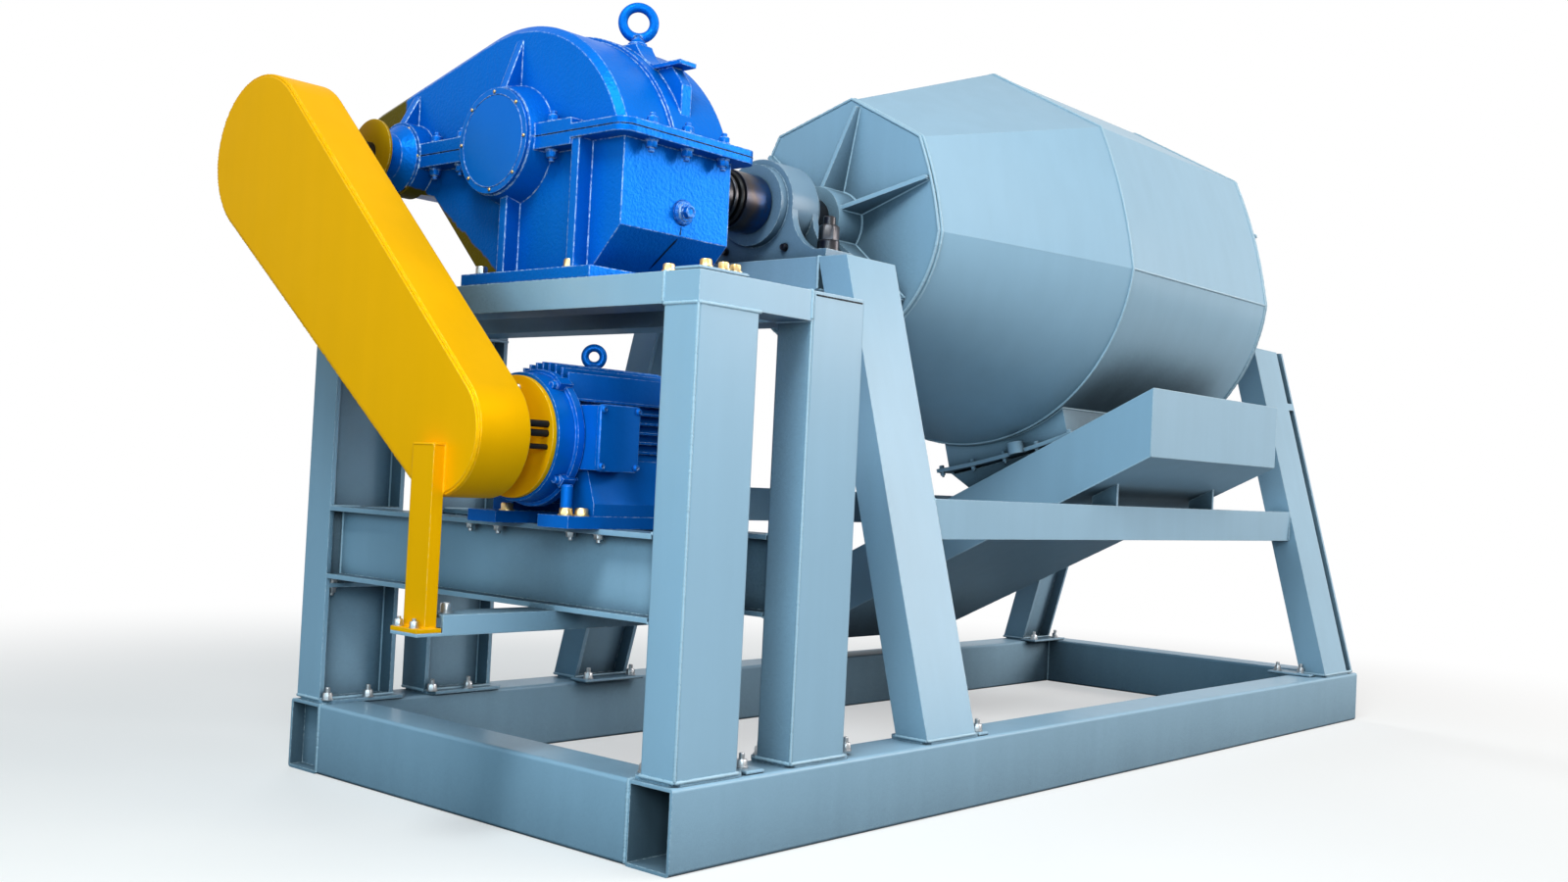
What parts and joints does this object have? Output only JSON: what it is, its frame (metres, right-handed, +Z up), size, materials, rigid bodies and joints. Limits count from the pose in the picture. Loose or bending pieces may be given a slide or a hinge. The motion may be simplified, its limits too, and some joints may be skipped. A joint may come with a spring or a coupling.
{
  "type": "drum amalgamator",
  "caption": "Tapered drum on trestles over a beam skid, turned by a belt-driven gear reducer, with a hatch and a sloping discharge chute below.",
  "frame": {"origin": "middle of the machine's footprint on the floor", "axes": "+X along the drum's axis from the gearbox end to the far end, +Y from the near side to the side where the chute discharges, +Z up"},
  "size_m": [4.522, 1.58, 2.4392],
  "materials": {
    "frame_paint": "satin blue-grey enamel on welded steel",
    "drum_paint": "satin blue-grey enamel on rolled plate",
    "gearbox_paint": "gloss blue enamel on castings",
    "guard_paint": "gloss yellow enamel on sheet steel",
    "shaft_steel": "turned steel",
    "coupling_steel": "dark blued steel"
  },
  "bodies": {
    "root": {"base_beam_far": "frame_paint", "base_beam_near": "frame_paint", "base_cross_left": "frame_paint", "base_cross_right": "frame_paint", "bearing_left": "frame_paint", "bearing_right": "frame_paint", "chute": "frame_paint", "gearbox_base": "gearbox_paint", "gearbox_cover": "gearbox_paint", "gearbox_eye": "gearbox_paint", "gearbox_output_cap": "gearbox_paint", "guard_leg": "guard_paint", "guard_outrigger": "frame_paint", "guard_shell": "guard_paint", "motor_body": "gearbox_paint", "motor_cowl": "gearbox_paint", "motor_disc": "guard_paint", "motor_shield": "gearbox_paint", "motor_slide_base": "gearbox_paint", "motor_terminal_box": "gearbox_paint", "platform_beam_back": "frame_paint", "platform_beam_front": "frame_paint", "rail_far": "frame_paint", "rail_near": "frame_paint", "stand_beam_back": "frame_paint", "stand_beam_far": "frame_paint", "stand_beam_front": "frame_paint", "stand_beam_near": "frame_paint", "stand_column_far_left": "frame_paint", "stand_column_far_right": "frame_paint", "stand_column_near_left": "frame_paint", "stand_column_near_right": "frame_paint", "trestle_left_beam": "frame_paint", "trestle_left_leg_far": "frame_paint", "trestle_left_leg_near": "frame_paint", "trestle_right_beam": "frame_paint", "trestle_right_leg_far": "frame_paint", "trestle_right_leg_near": "frame_paint"},
    "drum": {"drum_cone": "drum_paint", "drum_barrel": "drum_paint", "drum_end_left": "drum_paint", "drum_end_right": "drum_paint", "drum_shaft_left": "shaft_steel", "drum_shaft_right": "shaft_steel", "shaft_coupling": "coupling_steel", "hatch_neck": "drum_paint", "hatch_cover": "drum_paint"},
    "input_drive": {"input_shaft": "shaft_steel"},
    "motor_rotor": {"motor_shaft": "coupling_steel"}
  },
  "joints": [
    {"name": "drum_spin", "type": "hinge", "parent": "root", "child": "drum", "pos_m": [0.501, 0, 1.757], "axis": [1, 0, 0], "continuous": true},
    {"name": "input_shaft_spin", "type": "hinge", "parent": "root", "child": "input_drive", "pos_m": [-1.869, 0.45, 1.757], "axis": [1, 0, 0], "continuous": true},
    {"name": "motor_shaft_spin", "type": "hinge", "parent": "root", "child": "motor_rotor", "pos_m": [-1.969, -0.298, 0.981], "axis": [1, 0, 0], "continuous": true}
  ],
  "couplings": [
    {"joint": "input_shaft_spin", "follows": "drum_spin", "ratio": 31.5},
    {"joint": "motor_shaft_spin", "follows": "drum_spin", "ratio": 44.1}
  ]
}
